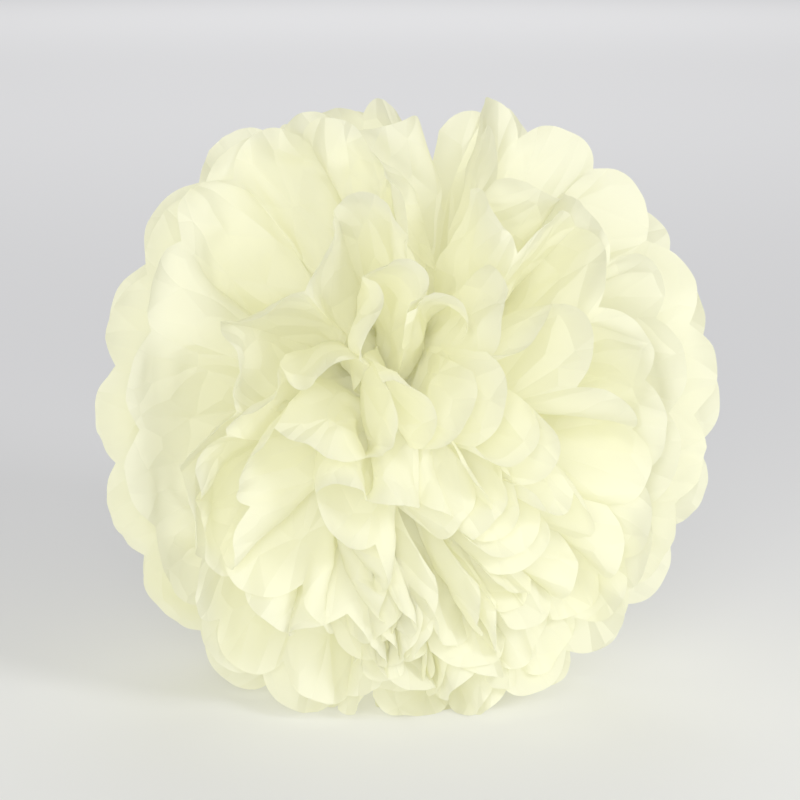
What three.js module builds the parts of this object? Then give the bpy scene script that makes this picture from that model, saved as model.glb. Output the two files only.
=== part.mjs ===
// A tissue paper pom pom: a stack of tissue sheets, pleated together into a strip, tied at the
// strip's middle with wire, cut round at both ends and fluffed sheet by sheet into a ball.
//
// Frame: +Z up, the ball stands on z = 0. The strip runs along X, so each sheet opens into a right
// and a left fan. Half of the sheets are pulled to the front (-Y) and half to the back (+Y).
// Units are millimetres, and angles are degrees where a name ends in Deg.

import * as THREE from "three";

// The paper, before it is tied.
const sheetLength = 381; // across the pleats
const sheetWidth = 254; // along the pleats, from one cut end to the other
const pleatCount = 11;
const sheetsPerSide = 6;
const scallopDepth = 10; // how much deeper the round cut is at a fold than at a pleat's middle
const paperThickness = 0.7; // of the closed solid that stands for a 0.03 mm sheet

// The ball.
const layerStepDeg = 14.4; // between neighbouring sheets, so that six fill a right angle
const topCleftDeg = 5; // from the top line to each fan's first edge
const bottomCleftDeg = 3; // and from its last edge to the bottom line
const shortenPerLayer = 2.5; // a sheet pulled further up curls more and reaches less far
const steepestPleatDeg = 52; // a pleat's slope once it is clear of the tie
const slopeGrowsOver = 32; // the distance from the tie over which the pleats rise
const swayDeg = 3.5; // how far a fan's rim waves from its cone
const swayWaves = [ // radians of wave for each pleat, and of shift from one fan to the next
  { share: 0.6, perPleat: 0.9, shift: 1 },
  { share: 0.4, perPleat: 1.7, shift: -2 },
];
const swayShift = { layer: 1.9, side: 2.3, half: 1.1 };
const rollDeg = 8; // the ball lies rolled about Y, so its top cleft leans to +X
const droopRightDeg = 18; // the innermost front sheet hangs over to +X
const droopDownDeg = 14; // and down
const droopGrowsOver = 50;
const centreHeight = 113; // of the tie above the floor, with the lowest petals pressed flat

// The tie.
const neckHalfHeight = 5; // of the flattened bundle, along Z
const neckHalfLength = 2; // of the innermost sheets' bundle inside the wire, along X
const neckStagger = 0.8; // each sheet further out leaves the bundle this much further along X
const neckPitch = 1.4; // from one sheet to the next in the bundle, along Y
const wireRadius = 0.6;
const wireSides = 6;
const wireSteps = 90; // along the whole wire
const wireClearance = 0.7; // between the wire and the bundle
const wireBend = 2.2; // how far from the bundle's corners the wire starts to bend round them
const tailStart = 2; // of the twisted tail, above the wire's loop
const tailLength = 18;
const tailTurns = 3;
const tailStepsPerTurn = 12;
const tailTwistRadius = 0.85; // of each wire end about the tail's own line

const pleatWidth = sheetLength / pleatCount;
const fanSpan = THREE.MathUtils.degToRad(180 - topCleftDeg - bottomCleftDeg);
const rimReach = sheetWidth / 2 - neckHalfLength; // along the paper, from the tie's edge
const scallopRadius = ((pleatWidth / 2) ** 2 + scallopDepth ** 2) / (2 * scallopDepth);
const arcCorners = 3; // along each rounded pleat end, between its folds
const rowShares = [0, 0.1, 0.33, 0.66]; // of a fold line's length, where the surface may bend

const ramp = (value, full) => Math.min(1, Math.max(0, value / full));
const zigzag = (pleats) => 1 - 2 * Math.abs((((pleats % 2) + 2) % 2) - 1);

// How far along the paper the round cut lies, for a place across the pleats counted in pleats.
function cutReach(layer, pleats) {
  const across = (pleats - Math.floor(pleats) - 0.5) * pleatWidth;
  const bulge = Math.sqrt(scallopRadius ** 2 - across ** 2) - (scallopRadius - scallopDepth);
  return rimReach - shortenPerLayer * layer - scallopDepth + bulge;
}

// A slow wave of the rim, different for each sheet, as an angle.
function sway(layer, side, half, pleats, share) {
  const phase = swayShift.layer * layer + swayShift.side * side + swayShift.half * half;
  const wave = swayWaves.reduce(
    (sum, part) => sum + part.share * Math.sin(part.perPleat * pleats + part.shift * phase),
    0,
  );
  return THREE.MathUtils.degToRad(swayDeg) * share ** 2 * wave;
}

// The point of a sheet at a distance along its paper from the tie, in the ball's frame.
// side is 1 for front sheets and -1 for back ones, half is 1 for the right fan and -1 for the left.
function sheetPoint(sheet, half, pleats, reach, lift) {
  const { layer, side } = sheet;
  const turn = THREE.MathUtils.degToRad(topCleftDeg) + (fanSpan * pleats) / pleatCount;
  const cone = THREE.MathUtils.degToRad((layer + 0.5) * layerStepDeg);
  const rise = cone + sway(layer, side, half, pleats, reach / rimReach);
  const out = new THREE.Vector3(
    half * Math.sin(turn) * Math.cos(rise),
    -side * Math.sin(rise),
    Math.cos(turn) * Math.cos(rise),
  );
  const up = new THREE.Vector3(
    -half * Math.sin(turn) * Math.sin(rise),
    -side * Math.cos(rise),
    -Math.cos(turn) * Math.sin(rise),
  );

  // A pleat is as wide as the paper allows, and no steeper than it can stand beside its neighbours.
  const chord = (fanSpan / pleatCount) * (neckHalfHeight + reach * Math.cos(rise));
  const paperHeight = Math.sqrt(Math.max(0, pleatWidth ** 2 - chord ** 2)) / 2;
  const slope = Math.tan(THREE.MathUtils.degToRad(steepestPleatDeg)) * ramp(reach, slopeGrowsOver);
  const foldHeight = Math.min(paperHeight, (chord * slope) / 2) * zigzag(pleats);

  const droop = side > 0 ? (layer / (sheetsPerSide - 1)) * ramp(reach, droopGrowsOver) : 0;
  const hang = new THREE.Euler(
    THREE.MathUtils.degToRad(droopDownDeg) * droop,
    0,
    THREE.MathUtils.degToRad(droopRightDeg) * droop,
  );
  const point = out
    .multiplyScalar(reach)
    .addScaledVector(up, side * foldHeight + lift)
    .applyEuler(hang);
  point.x += half * (neckHalfLength + (sheetsPerSide - 1 - layer) * neckStagger);
  point.y += -side * (layer + 0.5) * neckPitch;
  point.z += neckHalfHeight * Math.cos(turn);
  return point;
}

// The same point where the ball lies. A petal that meets the floor ends on it.
function restingPoint(sheet, half, pleats, reach, lift) {
  const roll = new THREE.Vector3(0, 1, 0);
  const place = (along) => {
    const point = sheetPoint(sheet, half, pleats, along, lift);
    point.applyAxisAngle(roll, THREE.MathUtils.degToRad(rollDeg));
    point.z += centreHeight;
    return point;
  };
  const far = place(reach);
  if (far.z >= 0) return far;
  const near = place(0);
  const onFloor = place((reach * near.z) / (near.z - far.z));
  onFloor.z = 0;
  return onFloor;
}

// One sheet as a list of flat places (half, pleats, reach) and the triangles between them.
function sheetPattern(layer) {
  const places = [];
  const triangles = [];
  const add = (half, pleats, reach) => places.push({ half, pleats, reach }) - 1;
  const foldLines = [1, -1].map((half) =>
    Array.from({ length: pleatCount + 1 }, (_, fold) => {
      const whole = cutReach(layer, fold);
      return [...rowShares.map((share) => share * whole), whole].map((reach) => add(half, fold, reach));
    }),
  );
  const last = rowShares.length;
  for (const [index, half] of [1, -1].entries()) {
    for (let pleat = 0; pleat < pleatCount; pleat++) {
      const [a, b] = [foldLines[index][pleat], foldLines[index][pleat + 1]];
      const quad = (p, q, r, s) => {
        const corners = half > 0 ? [p, q, r, p, r, s] : [p, r, q, p, s, r];
        triangles.push(corners.slice(0, 3), corners.slice(3));
      };
      for (let row = 0; row < last - 1; row++) quad(a[row], a[row + 1], b[row + 1], b[row]);
      const arc = [a[last]];
      for (let corner = 1; corner <= arcCorners; corner++) {
        const pleats = pleat + corner / (arcCorners + 1);
        arc.push(add(half, pleats, cutReach(layer, pleats)));
      }
      arc.push(b[last]);
      const middle = Math.floor(arc.length / 2);
      for (let step = 0; step < arc.length - 1; step++) {
        const root = step < middle ? a[last - 1] : b[last - 1];
        const corners = [root, arc[step], arc[step + 1]];
        triangles.push(half > 0 ? corners : corners.reverse());
      }
      const across = [a[last - 1], arc[middle], b[last - 1]];
      triangles.push(half > 0 ? across : across.reverse());
    }
  }
  for (let pleat = 0; pleat < pleatCount; pleat++) {
    const [right, left] = foldLines.map((lines) => [lines[pleat][0], lines[pleat + 1][0]]);
    triangles.push([left[0], right[0], right[1]], [left[0], right[1], left[1]]);
  }
  return { places, triangles };
}

// Closes two parallel skins into one solid, with walls along every open edge of the pattern.
function closedSolid(frontPoints, backPoints, triangles) {
  const count = frontPoints.length;
  const faces = triangles.flatMap(([a, b, c]) => [
    [a, b, c],
    [a + count, c + count, b + count],
  ]);
  const edges = new Map();
  for (const [a, b, c] of triangles) {
    for (const [from, to] of [[a, b], [b, c], [c, a]]) edges.set(`${from},${to}`, [from, to]);
  }
  for (const [from, to] of edges.values()) {
    if (edges.has(`${to},${from}`)) continue;
    faces.push([from, from + count, to + count], [from, to + count, to]);
  }
  const positions = [...frontPoints, ...backPoints].flatMap((point) => point.toArray());
  const geometry = new THREE.BufferGeometry();
  geometry.setAttribute("position", new THREE.Float32BufferAttribute(positions, 3));
  geometry.setIndex(faces.flat());
  return geometry;
}

function sheetGeometry(sheet) {
  const { places, triangles } = sheetPattern(sheet.layer);
  const skin = (lift) =>
    places.map(({ half, pleats, reach }) => restingPoint(sheet, half, pleats, reach, lift));
  const [inner, outer] = [skin(paperThickness / 2), skin(-paperThickness / 2)];
  const facing = sheet.side < 0 ? triangles : triangles.map(([a, b, c]) => [a, c, b]);
  return closedSolid(inner, outer, facing);
}

// The wire goes once round the bundle and its two ends are twisted together, up the top cleft.
function tieGeometry() {
  const bundleHalfDepth = (sheetsPerSide - 0.5) * neckPitch + paperThickness / 2;
  const halfDepth = bundleHalfDepth + wireClearance + wireRadius;
  const halfHeight = neckHalfHeight + wireClearance + wireRadius;
  const path = [];
  const tailSteps = tailStepsPerTurn * tailTurns;
  const addTail = (step, start) => {
    const turn = start + (2 * Math.PI * step) / tailStepsPerTurn;
    const height = halfHeight + tailStart + (tailLength * step) / tailSteps;
    const [x, y] = [tailTwistRadius * Math.sin(turn), tailTwistRadius * Math.cos(turn)];
    path.push(new THREE.Vector3(x, y, height));
  };
  for (let step = tailSteps; step >= 0; step--) addTail(step, 0);
  const loop = [
    [halfDepth - wireBend, halfHeight],
    [halfDepth, halfHeight - wireBend],
    [halfDepth, -halfHeight + wireBend],
    [halfDepth - wireBend, -halfHeight],
    [-halfDepth + wireBend, -halfHeight],
    [-halfDepth, -halfHeight + wireBend],
    [-halfDepth, halfHeight - wireBend],
    [-halfDepth + wireBend, halfHeight],
  ];
  for (const [y, z] of loop) path.push(new THREE.Vector3(0, y, z));
  for (let step = 0; step <= tailSteps; step++) addTail(step, Math.PI);

  const section = new THREE.Shape();
  for (let side = 0; side < wireSides; side++) {
    const turn = (2 * Math.PI * side) / wireSides;
    const corner = [wireRadius * Math.cos(turn), wireRadius * Math.sin(turn)];
    if (side === 0) section.moveTo(...corner);
    else section.lineTo(...corner);
  }
  const geometry = new THREE.ExtrudeGeometry(section, {
    steps: wireSteps,
    extrudePath: new THREE.CatmullRomCurve3(path),
    bevelEnabled: false,
  });
  geometry.rotateY(THREE.MathUtils.degToRad(rollDeg));
  geometry.translate(0, 0, centreHeight);
  return geometry;
}

const tissue = new THREE.MeshStandardMaterial({ color: 0xf3f0cf, roughness: 0.85, metalness: 0 });
const wire = new THREE.MeshStandardMaterial({ color: 0xdad6c2, roughness: 0.45, metalness: 0.6 });

const ball = new THREE.Group();
for (const side of [1, -1]) {
  for (let layer = 0; layer < sheetsPerSide; layer++) {
    const mesh = new THREE.Mesh(sheetGeometry({ layer, side }), tissue);
    mesh.name = `${side > 0 ? "front" : "back"}_tissue_sheet_${layer + 1}`;
    ball.add(mesh);
  }
}
const tie = new THREE.Mesh(tieGeometry(), wire);
tie.name = "wire_tie";
ball.add(tie);

// The origin is on the floor, under the middle of the ball's box.
const middle = new THREE.Box3().setFromObject(ball).getCenter(new THREE.Vector3());
ball.position.set(-middle.x, -middle.y, 0);
const pomPom = new THREE.Group().add(ball);

export default pomPom;
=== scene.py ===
import math
import time

import bpy
import numpy as np
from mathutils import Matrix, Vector
from mathutils.bvhtree import BVHTree


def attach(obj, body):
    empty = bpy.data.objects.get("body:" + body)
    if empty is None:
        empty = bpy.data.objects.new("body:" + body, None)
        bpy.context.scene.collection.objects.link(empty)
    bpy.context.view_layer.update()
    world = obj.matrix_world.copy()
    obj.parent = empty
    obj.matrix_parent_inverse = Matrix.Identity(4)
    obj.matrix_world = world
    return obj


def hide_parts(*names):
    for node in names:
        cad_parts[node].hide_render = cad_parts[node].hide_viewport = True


startedAt = time.time()
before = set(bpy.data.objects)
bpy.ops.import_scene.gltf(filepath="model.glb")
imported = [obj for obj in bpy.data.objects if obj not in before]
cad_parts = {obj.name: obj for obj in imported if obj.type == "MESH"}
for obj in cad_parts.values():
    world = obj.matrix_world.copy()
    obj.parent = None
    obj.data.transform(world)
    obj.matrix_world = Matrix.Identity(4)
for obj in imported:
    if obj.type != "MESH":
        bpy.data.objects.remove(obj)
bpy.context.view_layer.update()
print("frame loaded,", len(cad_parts), "nodes")

# The paper before it is tied, in millimetres, and the grids that it is worked on.
paper = {
    "pleatWidth": 381.0 / 11,
    "pleats": 11,
    "halfWidth": 125.0,         # from the tie to the round cut
    "scallopDepth": 10.0,       # how much deeper the cut is at a fold
    "scallopShape": 2.8,        # 2 is round, more is squarer
    "shortenPerLayer": 2.5,     # inwards, from the outermost sheet
    "sheetsPerSide": 6,
    "coarseGrid": (5, 17),      # cells across a pleat, and from the tie to the rim
    "fineGrid": (10, 34),
    "finalGrid": (20, 60),
}

# How the ball is pulled open. Angles in degrees, lengths in millimetres.
ball = {
    "hub": (-0.1, 0.3, 113.0),  # of the tie
    "roll": 8.0,                # the top cleft leans to the right
    "cones": (7.2, 21.0, 35.0, 49.0, 62.0, 74.0),  # rise of each sheet, from the outermost
    # the edges of the right fan (1) and the left fan (-1), from the top and bottom lines, at the tie
    # and at the rim: below zero where the left fan lies over the right one
    "outerTop": {1: (3, 4.5), -1: (-12, 2.5)},
    "outerBottom": {1: (2, 3), -1: (-7, -3)},
    "innerTop": {1: (3, 3), -1: (-18, -3)},
    "innerBottom": {1: (2, 2), -1: (-12, -9)},
    "cleftVaries": 2.0,
    "edgeOpenness": 0.55,       # of a fan's outer pleats, against what its middle ones add
    "middleOpenness": 0.9,
    "middlePleats": 3.0,        # how far the middle reaches
    "opennessVaries": (0.5, 1.5),
    "pleatSlope": (45.0, 82.0),  # the steepest a pleat's sides get, at the tie and past steepReach
    "steepReach": 15.0,
    "overlapTilt": 6.0,         # lifts the left fan's edges over the right one's
    "neckHeight": 5.0,          # of the gathered paper at the tie
    "neckLength": 2.0,
    "neckStagger": 0.8,         # outer sheets start further from the tie
    "neckPitch": 1.4,           # from sheet to sheet, front to back
    "leaning": (0, 0, 0.15, 0.4, 0.75, 1.0),  # share of lean and hang for each front sheet
    "lean": (-12.0, 8.0),       # right (below zero: left) and down, from the tie on
    "leanReach": 20.0,          # where the lean is full
    "hang": (36.0, 24.0),       # right and down, at the rim
    "tilt": (8.0, 7.0),         # spread of the folds, in the outermost and innermost sheets
    "curl": (17.0, 16.0),       # spread of their rims
    "seed": 7,
}


def smooth(x):
    # from 0 to 1 with soft ends
    x = np.clip(x, 0.0, 1.0)
    return x * x * (3 - 2 * x)


def scallopedRim(layer, s):
    # how far the cut paper reaches from the tie, s pleats along it
    across = 2 * np.abs(s - np.floor(np.minimum(s, paper["pleats"] - 1e-6)) - 0.5)
    cut = paper["scallopDepth"] * across ** paper["scallopShape"]
    return paper["halfWidth"] - paper["shortenPerLayer"] * layer - cut


def between(values, s):
    # a smooth curve through one value for each fold line
    i = np.clip(np.floor(s).astype(int), 0, len(values) - 2)
    f = smooth(s - i)
    return values[i] * (1 - f) + values[i + 1] * f


def fanStyle(side, layer, half):
    # how one fan falls: side is 1 at the front and -1 at the back, half is 1 at the right
    rng = np.random.default_rng(ball["seed"] * 1000 + layer * 10 + (side > 0) * 4 + (half > 0))
    pleats = paper["pleats"]
    fromMiddle = (np.arange(pleats) - pleats // 2) / ball["middlePleats"]
    openness = ball["edgeOpenness"] + ball["middleOpenness"] * np.exp(-(fromMiddle**2))
    openness *= rng.uniform(*ball["opennessVaries"], pleats)
    inner = layer / (paper["sheetsPerSide"] - 1)
    tilt = rng.normal(0, 1, pleats + 1) * np.interp(inner, (0, 1), ball["tilt"])
    tilt[[0, -1]] = -half * ball["overlapTilt"] + rng.uniform(-1, 1, 2)
    return {
        "side": side,
        "layer": layer,
        "half": half,
        "opening": openness / openness.sum(),
        "ends": rng.uniform(-1, 1, 2) * ball["cleftVaries"],
        "tilt": tilt,
        "curl": rng.normal(0, 1, pleats + 1) * np.interp(inner, (0, 1), ball["curl"]),
    }


def openFan(style, s, reach):
    # where a pleated half sheet stands once it is pulled to its cone, and how much narrower the
    # paper is there than flat
    side, layer, half = style["side"], style["layer"], style["half"]
    pleats = paper["pleats"]
    s = s[:, None]
    share = reach / paper["halfWidth"]
    opened = smooth(share)
    edges = "inner" if layer > 0 else "outer"
    top, bottom = ball[edges + "Top"][half], ball[edges + "Bottom"][half]
    first = np.radians(top[0] + (top[1] - top[0]) * opened + style["ends"][0])
    last = np.radians(180 - bottom[0] - (bottom[1] - bottom[0]) * opened + style["ends"][1])
    foldTurns = np.concatenate([[0], np.cumsum(style["opening"])])
    own = np.interp(s, np.arange(pleats + 1), foldTurns)
    span = last - first
    turn = first + span * (s / pleats + (own - s / pleats) * opened)
    tilt = between(style["tilt"], s) * share + between(style["curl"], s) * share**3
    rise = np.radians(ball["cones"][layer] + tilt)
    pleat = np.clip(np.floor(s).astype(int), 0, pleats - 1)
    partOfSpan = 1 / pleats + (style["opening"][pleat] - 1 / pleats) * opened
    chord = span * partOfSpan * (ball["neckHeight"] + reach * np.cos(rise))
    width = paper["pleatWidth"]
    atTie, past = ball["pleatSlope"]
    steepest = np.radians(atTie + (past - atTie) * smooth(reach / ball["steepReach"]))
    depth = np.minimum(np.sqrt(np.maximum(0, width**2 - chord**2)), chord * np.tan(steepest))
    gathered = np.minimum(1, np.sqrt(chord**2 + depth**2) / width).mean(axis=0)
    zigzag = 1 - 2 * np.abs(s % 2 - 1)
    lift = side * depth / 2 * zigzag

    sinTurn, cosTurn, sinRise, cosRise = np.sin(turn), np.cos(turn), np.sin(rise), np.cos(rise)
    x = half * sinTurn * (cosRise * reach - sinRise * lift)
    y = -side * (sinRise * reach + cosRise * lift)
    z = cosTurn * (cosRise * reach - sinRise * lift)

    if side > 0:
        leaning = ball["leaning"][layer]
        lean = leaning * smooth(reach / ball["leanReach"])
        hang = leaning * share**1.5
        down = np.radians(ball["lean"][1] * lean + ball["hang"][1] * hang)
        y, z = y * np.cos(down) - z * np.sin(down), y * np.sin(down) + z * np.cos(down)
        right = np.radians(ball["lean"][0] * lean + ball["hang"][0] * hang)
        x, y = x * np.cos(right) - y * np.sin(right), x * np.sin(right) + y * np.cos(right)

    stagger = (paper["sheetsPerSide"] - 1 - layer) * ball["neckStagger"]
    x = x + half * (ball["neckLength"] + stagger)
    y = y - side * (layer + 0.5) * ball["neckPitch"]
    z = z + ball["neckHeight"] * cosTurn
    roll = math.radians(ball["roll"])
    hub = ball["hub"]
    place = (
        x * math.cos(roll) + z * math.sin(roll) + hub[0],
        y + hub[1],
        z * math.cos(roll) - x * math.sin(roll) + hub[2],
    )
    return np.stack(place, axis=-1), gathered


def fanFlat(layer, grid):
    # a half sheet's flat places: pleats across, and reach from the tie
    cells, rows = grid
    s = np.linspace(0, paper["pleats"], paper["pleats"] * cells + 1)
    reach = scallopedRim(layer, s)[:, None] * np.linspace(0, 1, rows + 1)[None, :]
    return s, reach


# How the paper settles, in millimetres. A step is followed by a few passes over the paper's links.
settling = {
    "coarseSteps": 160,
    "coarseApartEvery": 10,     # steps from one push of the sheets off each other to the next
    "fineSteps": 40,
    "fineApartEvery": 20,
    "carriedOn": 0.8,           # of the last step's move
    "sag": 0.02,                # in a step
    "linkPasses": 3,
    "edgeStrength": 1.0,        # of the links along the grid
    "slantStrength": 0.8,       # of those across its cells
    "bendStrength": 0.35,       # of those over two cells
    "hold": 0.01,               # towards the opened shape
    "holdAtTie": 0.25,          # added near the tie
    "holdReach": 0.35,          # where that has faded, as a share of the paper
    "lowest": 0.3,              # above the floor
    "gap": 2.5,                 # that neighbouring sheets are pushed towards
    "lookFor": 14.0,            # how far off a neighbouring sheet still counts
    "squareOn": 0.8,            # how squarely a point must lie behind a sheet to be pushed back
    "pushShare": 0.5,
    "largestPush": 3.0,
    "spread": (0.25, 0.5, 0.25),  # of a push over the points beside it
    "spreadPasses": 2,
}


def pull(points, loose, a, b, rest, stiffness, pushOnly):
    # moves the points a and b towards their rest distance
    apart = points[b] - points[a]
    distance = np.sqrt(np.einsum("...k,...k", apart, apart))[..., None] + 1e-6
    off = distance - rest
    if pushOnly:
        off = np.minimum(off, 0)
    weight = loose[a] + loose[b] + 1e-6
    move = apart * (stiffness * off / (distance * weight))
    points[a] += move * loose[a]
    points[b] -= move * loose[b]


def paperLinks(styles, grid, gathered):
    # the pairs of grid points that are pulled towards their distance in the flat paper
    cells, rows = grid
    step = paper["pleatWidth"] / cells
    reaches = np.stack([fanFlat(style["layer"], grid)[1] for style in styles])
    across = paper["pleats"] * cells + 1
    folds = (np.arange(across) % cells == 0).astype(float)
    every = slice(None)
    links = []

    def addAcross(du, dv, stride, stiffness, bend):
        for start in range(stride):
            aU = slice(start, across - du, stride)
            bU = slice(start + du, across, stride)
            if dv >= 0:
                aV, bV = slice(0, rows + 1 - dv), slice(dv, rows + 1)
            else:
                aV, bV = slice(-dv, rows + 1), slice(0, rows + 1 + dv)
            a, b = (every, aU, aV), (every, bU, bV)
            drawnIn = (gathered[:, None, aV] + gathered[:, None, bV]) / 2
            rest = np.sqrt((step * du * drawnIn) ** 2 + (reaches[b] - reaches[a]) ** 2)[..., None]
            strength = stiffness
            if bend:  # folds bend freely
                middle = folds[start + 1:across - 1:stride][: rest.shape[1]]
                strength = (stiffness * (1 - middle))[None, :, None, None].astype(np.float32)
            links.append((a, b, rest.astype(np.float32), strength, bend))

    def addAlong(dv, stride, stiffness, bend):
        for start in range(stride):
            a = (every, every, slice(start, rows + 1 - dv, stride))
            b = (every, every, slice(start + dv, rows + 1, stride))
            rest = np.abs(reaches[b] - reaches[a])[..., None]
            links.append((a, b, rest.astype(np.float32), stiffness, bend))

    addAcross(2, 0, 4, settling["bendStrength"], True)
    addAlong(2, 4, settling["bendStrength"], True)
    addAcross(1, 1, 2, settling["slantStrength"], False)
    addAcross(1, -1, 2, settling["slantStrength"], False)
    addAcross(1, 0, 2, settling["edgeStrength"], False)
    addAlong(1, 2, settling["edgeStrength"], False)
    return links


def sheetFaces(grid):
    # faces of one whole sheet, right half then left, all facing the front
    cells, rows = grid
    across = paper["pleats"] * cells + 1
    index = np.arange(across * (rows + 1)).reshape(across, rows + 1)
    corners = [index[:-1, :-1], index[1:, :-1], index[1:, 1:], index[:-1, 1:]]
    right = np.stack([c.ravel() for c in corners], axis=1)
    left = right[:, ::-1] + index.size
    return np.concatenate([right, left])


def pushApart(points, sheets, faces, firstRow):
    # moves neighbouring sheets of the stack back towards their order, a gap apart; the halves of one
    # sheet aren't pushed off each other
    trees = [BVHTree.FromPolygons(points[s].reshape(-1, 3).tolist(), faces) for s in sheets]
    rows = points.shape[2]
    moves = np.zeros_like(points)
    gap, spread = settling["gap"], settling["spread"]
    for lower in range(len(sheets) - 1):
        for own, other, sign in ((lower + 1, lower, 1), (lower, lower + 1, -1)):
            tree = trees[other]
            target = points[sheets[own]].reshape(-1, 3)
            move = np.zeros_like(target)
            row = np.arange(len(target)) % rows
            for i in np.nonzero(row >= firstRow)[0]:
                p = Vector(target[i])
                near, normal, _, distance = tree.find_nearest(p, settling["lookFor"])
                if near is None:
                    continue
                height = sign * (p - near).dot(normal)
                if height >= gap:
                    continue
                if height < 0 and -height < settling["squareOn"] * distance:
                    continue
                if height >= 0 and distance >= gap:
                    continue
                push = min(settling["largestPush"], (gap - height) * settling["pushShare"])
                move[i] = normal * (sign * push)
            moves[sheets[own]] += move.reshape(points[sheets[own]].shape)
    for _ in range(settling["spreadPasses"]):
        wide = np.pad(moves, ((0, 0), (1, 1), (0, 0), (0, 0)), mode="edge")
        moves = sum(w * wide[:, i:i + moves.shape[1]] for i, w in enumerate(spread))
        tall = np.pad(moves, ((0, 0), (0, 0), (1, 1), (0, 0)), mode="edge")
        moves = sum(w * tall[:, :, i:i + moves.shape[2]] for i, w in enumerate(spread))
    moves[:, :, :firstRow] = 0
    points += moves


def relax(points, target, styles, grid, gathered, steps, apartEvery):
    # settles the paper near its flat lengths, with folds that bend freely, and above the floor; where
    # it is crowded, sheets can still cross
    links = paperLinks(styles, grid, gathered)
    rows = grid[1]
    loose = np.ones(points.shape[:3] + (1,), np.float32)
    loose[:, :, 0] = 0
    share = np.linspace(0, 1, rows + 1)
    goal = settling["holdAtTie"] * (1 - smooth(share / settling["holdReach"])) + settling["hold"]
    goal = goal[None, None, :, None].astype(np.float32)
    goal[:, :, 0] = 0
    faces = sheetFaces(grid).tolist()
    count = paper["sheetsPerSide"]
    sheets = [slice(2 * k, 2 * k + 2) for k in range(2 * count)]
    before = points.copy()
    for step in range(steps):
        lastMove = (points - before) * settling["carriedOn"]
        before = points.copy()
        points += lastMove
        points[..., 2] -= settling["sag"] * loose[..., 0]
        points += goal * (target - points)
        for _ in range(settling["linkPasses"]):
            for a, b, rest, strength, pushOnly in links:
                pull(points, loose, a, b, rest, strength, pushOnly)
        np.maximum(points[..., 2], settling["lowest"], out=points[..., 2])
        if step % apartEvery == apartEvery - 1:
            pushApart(points, sheets, faces, rows // 8)
    return points


def splineMatrix(old, new):
    # weights that carry old + 1 evenly spaced knots to new + 1 places on a natural cubic spline
    bends = np.zeros((old + 1, old + 1))
    knots = np.zeros((old + 1, old + 1))
    bends[0, 0] = bends[old, old] = 1
    for i in range(1, old):
        bends[i, i - 1:i + 2] = (1 / 6, 2 / 3, 1 / 6)
        knots[i, i - 1:i + 2] = (1, -2, 1)
    second = np.linalg.solve(bends, knots)
    t = np.linspace(0, old, new + 1)
    i = np.minimum(np.floor(t).astype(int), old - 1)
    f = (t - i)[:, None]
    one = np.eye(old + 1)
    straight = one[i] * (1 - f) + one[i + 1] * f
    curve = ((1 - f) ** 3 - (1 - f)) / 6 * second[i] + (f**3 - f) / 6 * second[i + 1]
    return (straight + curve).astype(np.float32)


def refine(points, old, new):
    # the same surface on a finer grid: a spline along each pleat, and one across it between its folds
    pleats = paper["pleats"]
    along = np.einsum("ab,fubk->fuak", splineMatrix(old[1], new[1]), points)
    across = splineMatrix(old[0], new[0])
    parts = []
    for pleat in range(pleats):
        own = along[:, pleat * old[0]:(pleat + 1) * old[0] + 1]
        part = np.einsum("ab,fbvk->favk", across, own)
        parts.append(part if pleat == 0 else part[:, 1:])
    return np.concatenate(parts, axis=1)


def fluffedSheets():
    # all sheets from the back of the stack to its front, each as a right and a left half
    count = paper["sheetsPerSide"]
    backToMiddle = [(-1, layer) for layer in reversed(range(count))]
    order = backToMiddle + [(1, layer) for layer in range(count)]
    styles = [fanStyle(side, layer, half) for side, layer in order for half in (1, -1)]
    coarse, fine, final = paper["coarseGrid"], paper["fineGrid"], paper["finalGrid"]

    def opened(grid):
        fans = [openFan(style, *fanFlat(style["layer"], grid)) for style in styles]
        return [np.stack(part).astype(np.float32) for part in zip(*fans)]

    points, gathered = opened(coarse)
    steps, apartEvery = settling["coarseSteps"], settling["coarseApartEvery"]
    points = relax(points, points.copy(), styles, coarse, gathered, steps, apartEvery)
    print("coarse paper relaxed at %.1f s" % (time.time() - startedAt))
    points = refine(points, coarse, fine)
    gathered = opened(fine)[1]
    steps, apartEvery = settling["fineSteps"], settling["fineApartEvery"]
    points = relax(points, points.copy(), styles, fine, gathered, steps, apartEvery)
    print("fine paper relaxed at %.1f s" % (time.time() - startedAt))
    return order, refine(points, fine, final), final


def sheetMesh(name, halves, grid, layer, shift):
    # the relaxed sheet, with its flat places in the UV map and in an attribute for the creases; shift
    # gives each sheet creases of its own
    s, reach = fanFlat(layer, grid)
    across = np.broadcast_to((s * paper["pleatWidth"])[:, None], reach.shape)
    flat = np.stack([np.stack([across, reach * half], axis=-1) for half in (1, -1)]) / 1000
    flat = flat.reshape(-1, 2)
    faces = sheetFaces(grid)
    mesh = bpy.data.meshes.new(name)
    mesh.from_pydata((halves.reshape(-1, 3) / 1000).tolist(), [], faces.tolist())
    uv = mesh.uv_layers.new(name="paper")
    corners = flat[faces.ravel()] + (shift / 2, paper["halfWidth"] / 1000)
    uv.data.foreach_set("uv", corners.astype(np.float32).ravel())
    place = mesh.attributes.new("paperPlace", "FLOAT_VECTOR", "POINT")
    place.data.foreach_set("vector", np.column_stack([flat, np.full(len(flat), shift)]).ravel())
    mesh.shade_smooth()
    return mesh


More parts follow.
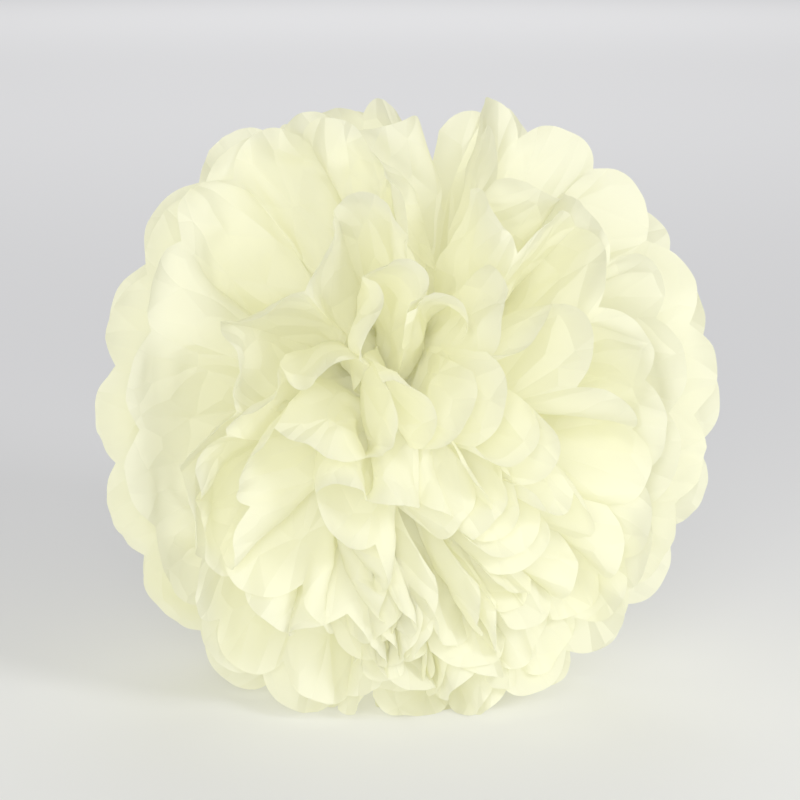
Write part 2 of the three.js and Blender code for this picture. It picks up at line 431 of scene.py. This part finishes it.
# How the paper is crumpled by handling. Lengths in metres.
creases = {
    "creaseDepth": 0.0075,
    "creaseSize": 0.024,
    "creaseWander": 0.5,        # how far a crease strays, against its size
    "fineDepth": 0.0019,
    "fineSize": 0.0095,
    "fineWander": 0.7,
    "facetMiddle": 0.2,         # the part of a facet's height that stays in the paper's place
    "alongPleat": 0.45,         # creases are longer from the tie to the rim
    "patchSize": 0.07,          # of the places that are crumpled or left smooth
    "smoothBelow": 0.38,
    "crumpledAbove": 0.62,
    "leastCrumpled": 0.15,
    "calmReach": 0.03,          # from the tie, where the pleats are too tight to crease
    "lowest": 0.0002,           # nothing goes through the floor
}


def addNode(tree, kind, inputs=None, **settings):
    node = tree.nodes.new(kind)
    for key, value in settings.items():
        setattr(node, key, value)
    for key, value in (inputs or {}).items():
        if isinstance(value, bpy.types.NodeSocket):
            tree.links.new(value, node.inputs[key])
        else:
            node.inputs[key].default_value = value
    return node


def calculate(tree, operation, first, second=0.0, clamp=False):
    values = {0: first, 1: second}
    return addNode(tree, "ShaderNodeMath", values, operation=operation, use_clamp=clamp).outputs[0]


def calculateVector(tree, operation, first, second):
    values = {0: first, "Scale" if operation == "SCALE" else 1: second}
    return addNode(tree, "ShaderNodeVectorMath", values, operation=operation).outputs[0]


def remap(tree, value, fromLow, fromHigh, toLow=0.0, toHigh=1.0):
    values = {0: value, 1: fromLow, 2: fromHigh, 3: toLow, 4: toHigh}
    return addNode(tree, "ShaderNodeMapRange", values).outputs[0]


def blend(tree, share, first, second):
    return addNode(tree, "ShaderNodeMix", {0: share, 6: first, 7: second}, data_type="RGBA").outputs[2]


def creasedPaperTree():
    # sharp facets of two sizes, pushed out along the paper's normal
    tree = bpy.data.node_groups.new("creasedPaper", "GeometryNodeTree")
    face = tree.interface
    face.new_socket("Geometry", in_out="INPUT", socket_type="NodeSocketGeometry")
    for name in creases:
        face.new_socket(name, in_out="INPUT", socket_type="NodeSocketFloat")
    face.new_socket("paperMaterial", in_out="INPUT", socket_type="NodeSocketMaterial")
    face.new_socket("Geometry", in_out="OUTPUT", socket_type="NodeSocketGeometry")
    given = tree.nodes.new("NodeGroupInput").outputs
    place = addNode(tree, "GeometryNodeInputNamedAttribute", {"Name": "paperPlace"},
                    data_type="FLOAT_VECTOR").outputs["Attribute"]
    stretch = {"X": 1.0, "Y": given["alongPleat"], "Z": 1.0}
    stretch = addNode(tree, "ShaderNodeCombineXYZ", stretch).outputs[0]
    stretched = calculateVector(tree, "MULTIPLY", place, stretch)

    def crumple(size, depth, wander):
        scale = calculate(tree, "DIVIDE", 1.0, size)
        bent = addNode(tree, "ShaderNodeTexNoise", {"Vector": stretched, "Scale": scale, "Detail": 1.0})
        off = calculateVector(tree, "SUBTRACT", bent.outputs["Color"], (0.5, 0.5, 0.5))
        off = calculateVector(tree, "SCALE", off, calculate(tree, "MULTIPLY", size, wander))
        moved = calculateVector(tree, "ADD", stretched, off)
        facets = addNode(tree, "ShaderNodeTexVoronoi", {"Vector": moved, "Scale": scale},
                         feature="DISTANCE_TO_EDGE").outputs["Distance"]
        raised = calculate(tree, "SUBTRACT", facets, given["facetMiddle"])
        return calculate(tree, "MULTIPLY", raised, depth)

    large = crumple(given["creaseSize"], given["creaseDepth"], given["creaseWander"])
    small = crumple(given["fineSize"], given["fineDepth"], given["fineWander"])
    height = calculate(tree, "ADD", large, small)
    reach = addNode(tree, "ShaderNodeSeparateXYZ", {0: place}).outputs["Y"]
    reach = calculate(tree, "ABSOLUTE", reach)
    awayFromTie = calculate(tree, "DIVIDE", reach, given["calmReach"], clamp=True)
    height = calculate(tree, "MULTIPLY", height, awayFromTie)
    patchScale = calculate(tree, "DIVIDE", 1.0, given["patchSize"])
    patches = addNode(tree, "ShaderNodeTexNoise", {"Vector": place, "Scale": patchScale}).outputs["Fac"]
    patches = remap(tree, patches, given["smoothBelow"], given["crumpledAbove"], given["leastCrumpled"])
    height = calculate(tree, "MULTIPLY", height, patches)
    normal = addNode(tree, "GeometryNodeInputNormal").outputs[0]
    start = addNode(tree, "GeometryNodeInputPosition").outputs[0]
    end = calculateVector(tree, "ADD", start, calculateVector(tree, "SCALE", normal, height))
    farOff = -1.0  # sideways, where nothing holds the paper back
    floorLine = {"X": farOff, "Y": farOff, "Z": given["lowest"]}
    floorLine = addNode(tree, "ShaderNodeCombineXYZ", floorLine).outputs[0]
    end = calculateVector(tree, "MAXIMUM", end, floorLine)
    moved = addNode(tree, "GeometryNodeSetPosition", {"Geometry": given["Geometry"], "Position": end})
    whole = addNode(tree, "GeometryNodeRealizeInstances", {"Geometry": moved.outputs[0]}).outputs[0]
    made = addNode(tree, "GeometryNodeSetMaterial", {"Geometry": whole, "Material": given["paperMaterial"]})
    out = tree.nodes.new("NodeGroupOutput")
    tree.links.new(made.outputs[0], out.inputs[0])
    return tree


def runTree(piece, tree, values):
    # puts the tree on the piece, takes its result as a plain mesh and removes the modifier
    modifier = piece.modifiers.new(tree.name, "NODES")
    modifier.node_group = tree
    for item in tree.interface.items_tree:
        if item.in_out == "INPUT" and item.name in values:
            modifier[item.identifier] = values[item.name]
    bpy.context.view_layer.update()
    evaluated = piece.evaluated_get(bpy.context.evaluated_depsgraph_get())
    mesh = bpy.data.meshes.new_from_object(evaluated)
    piece.modifiers.remove(modifier)
    old = piece.data
    piece.data = mesh
    mesh.name = piece.name
    bpy.data.meshes.remove(old)
    return piece


tissueLook = {
    "paper": (0.99, 0.98, 0.65),
    "thinner": 0.985,           # how bright the clouds' thin parts are against that
    "shownThrough": (0.99, 0.98, 0.59),
    "letsThrough": 0.5,
    "roughness": 0.75,
    "shine": 0.25,
    "cloudSize": 0.004,
    "cloudEdges": (0.3, 0.7),
    "facet": (0.018, 0.04),     # between sharp creases, across and along a pleat
    "facetHeight": 0.006,
    "sharpFrom": 40.0,          # degrees
}


def tissueMaterial():
    # matt paper that lets light through, of a cloudy density and with sharp small creases
    look = tissueLook
    material = bpy.data.materials.new("tissuePaper")
    material.use_nodes = True
    tree = material.node_tree
    shader = tree.nodes["Principled BSDF"]
    place = addNode(tree, "ShaderNodeUVMap", uv_map="paper").outputs[0]
    clouds = addNode(tree, "ShaderNodeTexNoise",
                     {"Vector": place, "Scale": 1 / look["cloudSize"], "Detail": 3.0, "Roughness": 0.6})
    thick = remap(tree, clouds.outputs["Fac"], *look["cloudEdges"])
    dense = look["paper"] + (1,)
    pale = tuple(part * look["thinner"] for part in look["paper"]) + (1,)
    tree.links.new(blend(tree, thick, pale, dense), shader.inputs["Base Color"])
    shader.inputs["Roughness"].default_value = look["roughness"]
    shader.inputs["Specular IOR Level"].default_value = look["shine"]
    wide, long = look["facet"]
    along = addNode(tree, "ShaderNodeMapping", {"Vector": place, "Scale": (1 / wide, 1 / long, 1)}).outputs[0]
    facets = addNode(tree, "ShaderNodeTexVoronoi", {"Vector": along, "Scale": 1.0},
                     feature="DISTANCE_TO_EDGE", voronoi_dimensions="2D").outputs["Distance"]
    bump = addNode(tree, "ShaderNodeBump", {"Height": facets, "Distance": look["facetHeight"]}).outputs[0]
    tree.links.new(bump, shader.inputs["Normal"])
    through = look["shownThrough"] + (1,)
    through = addNode(tree, "ShaderNodeBsdfTranslucent", {"Color": through, "Normal": bump}).outputs[0]
    mix = addNode(tree, "ShaderNodeMixShader", {0: look["letsThrough"], 1: shader.outputs[0], 2: through})
    tree.links.new(mix.outputs[0], tree.nodes["Material Output"].inputs[0])
    return material


order, points, grid = fluffedSheets()
tissue = tissueMaterial()
creaseTree = creasedPaperTree()
for number, (side, layer) in enumerate(order):
    where = "front" if side > 0 else "back"
    name = f"{where}Sheet{layer + 1}"
    mesh = sheetMesh(name, points[2 * number:2 * number + 2], grid, layer, number)
    sheet = bpy.data.objects.new(name, mesh)
    bpy.context.collection.objects.link(sheet)
    runTree(sheet, creaseTree, dict(creases, paperMaterial=tissue))
    sheet.data.shade_smooth()
    sheet.data.set_sharp_from_angle(angle=math.radians(tissueLook["sharpFrom"]))
    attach(sheet, "root")
    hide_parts(f"{where}_tissue_sheet_{layer + 1}")
print("sheets made at %.1f s" % (time.time() - startedAt))

# The wire goes once round the gathered bundle, and its two ends are twisted together up the top
# cleft. Lengths in metres.
tie = {
    "wireRadius": 0.0006,
    "wireSides": 12,
    "halfDepth": 0.00935,       # of the loop, front to back
    "halfHeight": 0.0063,
    "bend": 0.0022,             # how far from the loop's corners it starts to round them
    "tailStart": 0.002,         # above the loop
    "tailLength": 0.018,
    "tailTurns": 3,
    "tailStepsPerTurn": 24,
    "twistRadius": 0.00085,
    "smoothing": 6,
    "sharpFrom": 50.0,          # degrees
}
wireLook = {
    "dark": (0.62, 0.6, 0.5, 1),
    "light": (0.78, 0.76, 0.66, 1),
    "rubScale": 900.0,
    "rubDepth": 0.00005,
    "roughness": (0.35, 0.6),
    "metallic": 0.4,
}


def tiePath():
    # points along the wire from one end to the other, about the tie's own middle
    depth, height, bend = tie["halfDepth"], tie["halfHeight"], tie["bend"]
    steps = tie["tailTurns"] * tie["tailStepsPerTurn"]

    def tail(start):
        points = []
        for step in range(steps + 1):
            turn = start + 2 * math.pi * step / tie["tailStepsPerTurn"]
            rise = height + tie["tailStart"] + tie["tailLength"] * step / steps
            points.append((tie["twistRadius"] * math.sin(turn), tie["twistRadius"] * math.cos(turn), rise))
        return points

    atTop = [(depth - bend, height), (depth, height - bend)]
    oneSide = atTop + [(y, -z) for y, z in reversed(atTop)]
    loop = [(0, y, z) for y, z in oneSide] + [(0, -y, z) for y, z in reversed(oneSide)]
    return tail(0)[::-1] + loop + tail(math.pi)


def wireTree():
    # a round wire along a line of edges
    tree = bpy.data.node_groups.new("sweptWire", "GeometryNodeTree")
    face = tree.interface
    face.new_socket("Geometry", in_out="INPUT", socket_type="NodeSocketGeometry")
    face.new_socket("wireRadius", in_out="INPUT", socket_type="NodeSocketFloat")
    face.new_socket("wireSides", in_out="INPUT", socket_type="NodeSocketInt")
    face.new_socket("smoothing", in_out="INPUT", socket_type="NodeSocketInt")
    face.new_socket("wireMaterial", in_out="INPUT", socket_type="NodeSocketMaterial")
    face.new_socket("Geometry", in_out="OUTPUT", socket_type="NodeSocketGeometry")
    given = tree.nodes.new("NodeGroupInput").outputs
    line = addNode(tree, "GeometryNodeMeshToCurve", {"Mesh": given["Geometry"]}).outputs[0]
    bent = addNode(tree, "GeometryNodeCurveSplineType", {"Curve": line}, spline_type="CATMULL_ROM").outputs[0]
    bent = addNode(tree, "GeometryNodeSetSplineResolution",
                   {"Geometry": bent, "Resolution": given["smoothing"]}).outputs[0]
    section = addNode(tree, "GeometryNodeCurvePrimitiveCircle",
                      {"Resolution": given["wireSides"], "Radius": given["wireRadius"]}).outputs[0]
    wire = addNode(tree, "GeometryNodeCurveToMesh",
                   {"Curve": bent, "Profile Curve": section, "Fill Caps": True}).outputs[0]
    whole = addNode(tree, "GeometryNodeRealizeInstances", {"Geometry": wire}).outputs[0]
    made = addNode(tree, "GeometryNodeSetMaterial", {"Geometry": whole, "Material": given["wireMaterial"]})
    out = tree.nodes.new("NodeGroupOutput")
    tree.links.new(made.outputs[0], out.inputs[0])
    return tree


def wireMaterial():
    # pale painted wire, a little rubbed and uneven
    look = wireLook
    material = bpy.data.materials.new("paintedWire")
    material.use_nodes = True
    tree = material.node_tree
    shader = tree.nodes["Principled BSDF"]
    place = addNode(tree, "ShaderNodeTexCoord").outputs["Object"]
    rubbed = addNode(tree, "ShaderNodeTexNoise",
                     {"Vector": place, "Scale": look["rubScale"], "Detail": 4.0}).outputs["Fac"]
    color = blend(tree, rubbed, look["dark"], look["light"])
    rough = remap(tree, rubbed, 0.0, 1.0, *look["roughness"])
    bump = addNode(tree, "ShaderNodeBump", {"Height": rubbed, "Distance": look["rubDepth"]}).outputs[0]
    tree.links.new(color, shader.inputs["Base Color"])
    tree.links.new(rough, shader.inputs["Roughness"])
    tree.links.new(bump, shader.inputs["Normal"])
    shader.inputs["Metallic"].default_value = look["metallic"]
    return material


def makeTie():
    roll = math.radians(ball["roll"])
    hub = [part / 1000 for part in ball["hub"]]
    points = []
    for x, y, z in tiePath():
        across = x * math.cos(roll) + z * math.sin(roll)
        up = z * math.cos(roll) - x * math.sin(roll)
        points.append((across + hub[0], y + hub[1], up + hub[2]))
    mesh = bpy.data.meshes.new("wireTie")
    mesh.from_pydata(points, [(i, i + 1) for i in range(len(points) - 1)], [])
    piece = bpy.data.objects.new("wireTie", mesh)
    bpy.context.collection.objects.link(piece)
    runTree(piece, wireTree(), dict(tie, wireMaterial=wireMaterial()))
    piece.data.shade_smooth()
    piece.data.set_sharp_from_angle(angle=math.radians(tie["sharpFrom"]))
    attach(piece, "root")
    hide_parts("wire_tie")


makeTie()
print("tie made at %.1f s" % (time.time() - startedAt))

# A pale, plain floor that reaches past the view from every side. Lengths in metres.
floor = {
    "radius": 30.0,
    "corners": 64,
    "near": (0.86, 0.865, 0.84, 1),
    "far": (0.84, 0.84, 0.86, 1),
    "fade": (-0.1, 0.7),        # from the near tint to the far one, front to back
    "roughness": 0.9,
}


def floorMaterial():
    material = bpy.data.materials.new("paleCard")
    material.use_nodes = True
    tree = material.node_tree
    shader = tree.nodes["Principled BSDF"]
    place = addNode(tree, "ShaderNodeTexCoord").outputs["Object"]
    depth = addNode(tree, "ShaderNodeSeparateXYZ", {0: place}).outputs["Y"]
    color = blend(tree, remap(tree, depth, *floor["fade"]), floor["near"], floor["far"])
    tree.links.new(color, shader.inputs["Base Color"])
    shader.inputs["Roughness"].default_value = floor["roughness"]
    return material


def studioFloor():
    radius = floor["radius"]
    turns = [2 * math.pi * i / floor["corners"] for i in range(floor["corners"])]
    verts = [(radius * math.cos(turn), radius * math.sin(turn), 0.0) for turn in turns]
    mesh = bpy.data.meshes.new("studioFloor")
    mesh.from_pydata(verts, [], [tuple(range(floor["corners"]))])
    mesh.materials.append(floorMaterial())
    card = bpy.data.objects.new("studioFloor", mesh)
    bpy.context.collection.objects.link(card)


# A dim room that looks paler than the light it gives.
room = {"tint": (0.96, 0.97, 1.0, 1), "light": 0.26, "seen": 0.8}

# Soft lamps that the camera doesn't see. Lengths in metres, power in watts.
lamps = {
    "keyLight": {"place": (0.75, -0.95, 0.6), "aim": (0, 0, 0.1), "size": 0.35, "power": 13},
    "floorWash": {"place": (0, 2.6, 2.6), "aim": (0, 2.6, 0), "size": 2.5, "power": 42},
    "farWash": {"place": (0, 7.0, 3.5), "aim": (0, 7.0, 0), "size": 4.0, "power": 150},
    "nearWash": {"place": (0, -4.5, 3.0), "aim": (0, -4.5, 0), "size": 3.0, "power": 70},
    "frontFill": {"place": (-0.2, -2.2, 0.6), "aim": (0, 0, 0.12), "size": 1.0, "power": 40},
}

# Light that goes on through the sheets: a few true bounces, then an even glow close to the paper.
glow = {
    "bounces": 12,
    "diffuseBounces": 8,
    "trueBounces": 2,
    "strength": 4.2,
    "reach": 0.004,
}

shot = {
    "aim": (0.0, 0.0, 0.114),
    "distance": 1.1,
    "elevation": 10.0,
    "lens": 126.0,
    "gamma": 2.0,               # soft contrast, as pale paper needs
    "exposure": -0.8,
}


def lightRoom(scene):
    world = bpy.data.worlds.new("studio")
    scene.world = world
    world.use_nodes = True
    tree = world.node_tree
    background = tree.nodes["Background"]
    background.inputs["Color"].default_value = room["tint"]
    isSeen = addNode(tree, "ShaderNodeLightPath").outputs["Is Camera Ray"]
    strength = remap(tree, isSeen, 0.0, 1.0, room["light"], room["seen"])
    tree.links.new(strength, background.inputs["Strength"])
    world.light_settings.ao_factor = glow["strength"]
    world.light_settings.distance = glow["reach"]


def addLamp(name, place, aim, size, power):
    light = bpy.data.lights.new(name, "AREA")
    light.shape = "DISK"
    light.size = size
    light.energy = power
    lamp = bpy.data.objects.new(name, light)
    lamp.location = place
    lamp.visible_camera = False
    lamp.rotation_euler = (Vector(aim) - Vector(place)).to_track_quat("-Z", "Y").to_euler()
    bpy.context.collection.objects.link(lamp)


def setRender(scene):
    scene.cycles.max_bounces = glow["bounces"]
    scene.cycles.diffuse_bounces = glow["diffuseBounces"]
    scene.cycles.transmission_bounces = glow["bounces"]
    scene.cycles.use_fast_gi = True
    scene.cycles.fast_gi_method = "REPLACE"
    scene.cycles.ao_bounces_render = glow["trueBounces"]
    scene.view_settings.view_transform = "Standard"
    scene.view_settings.gamma = shot["gamma"]
    scene.view_settings.exposure = shot["exposure"]


def setCamera(scene):
    camera = bpy.data.objects.new("camera", bpy.data.cameras.new("camera"))
    camera.data.lens = shot["lens"]
    elevation = math.radians(shot["elevation"])
    back = Vector((0, -math.cos(elevation), math.sin(elevation)))
    camera.location = Vector(shot["aim"]) + back * shot["distance"]
    camera.rotation_euler = (-back).to_track_quat("-Z", "Y").to_euler()
    bpy.context.collection.objects.link(camera)
    scene.camera = camera


studioFloor()
lightRoom(bpy.context.scene)
for name, lamp in lamps.items():
    addLamp(name, **lamp)
setRender(bpy.context.scene)
setCamera(bpy.context.scene)
print("studio ready at %.1f s" % (time.time() - startedAt))
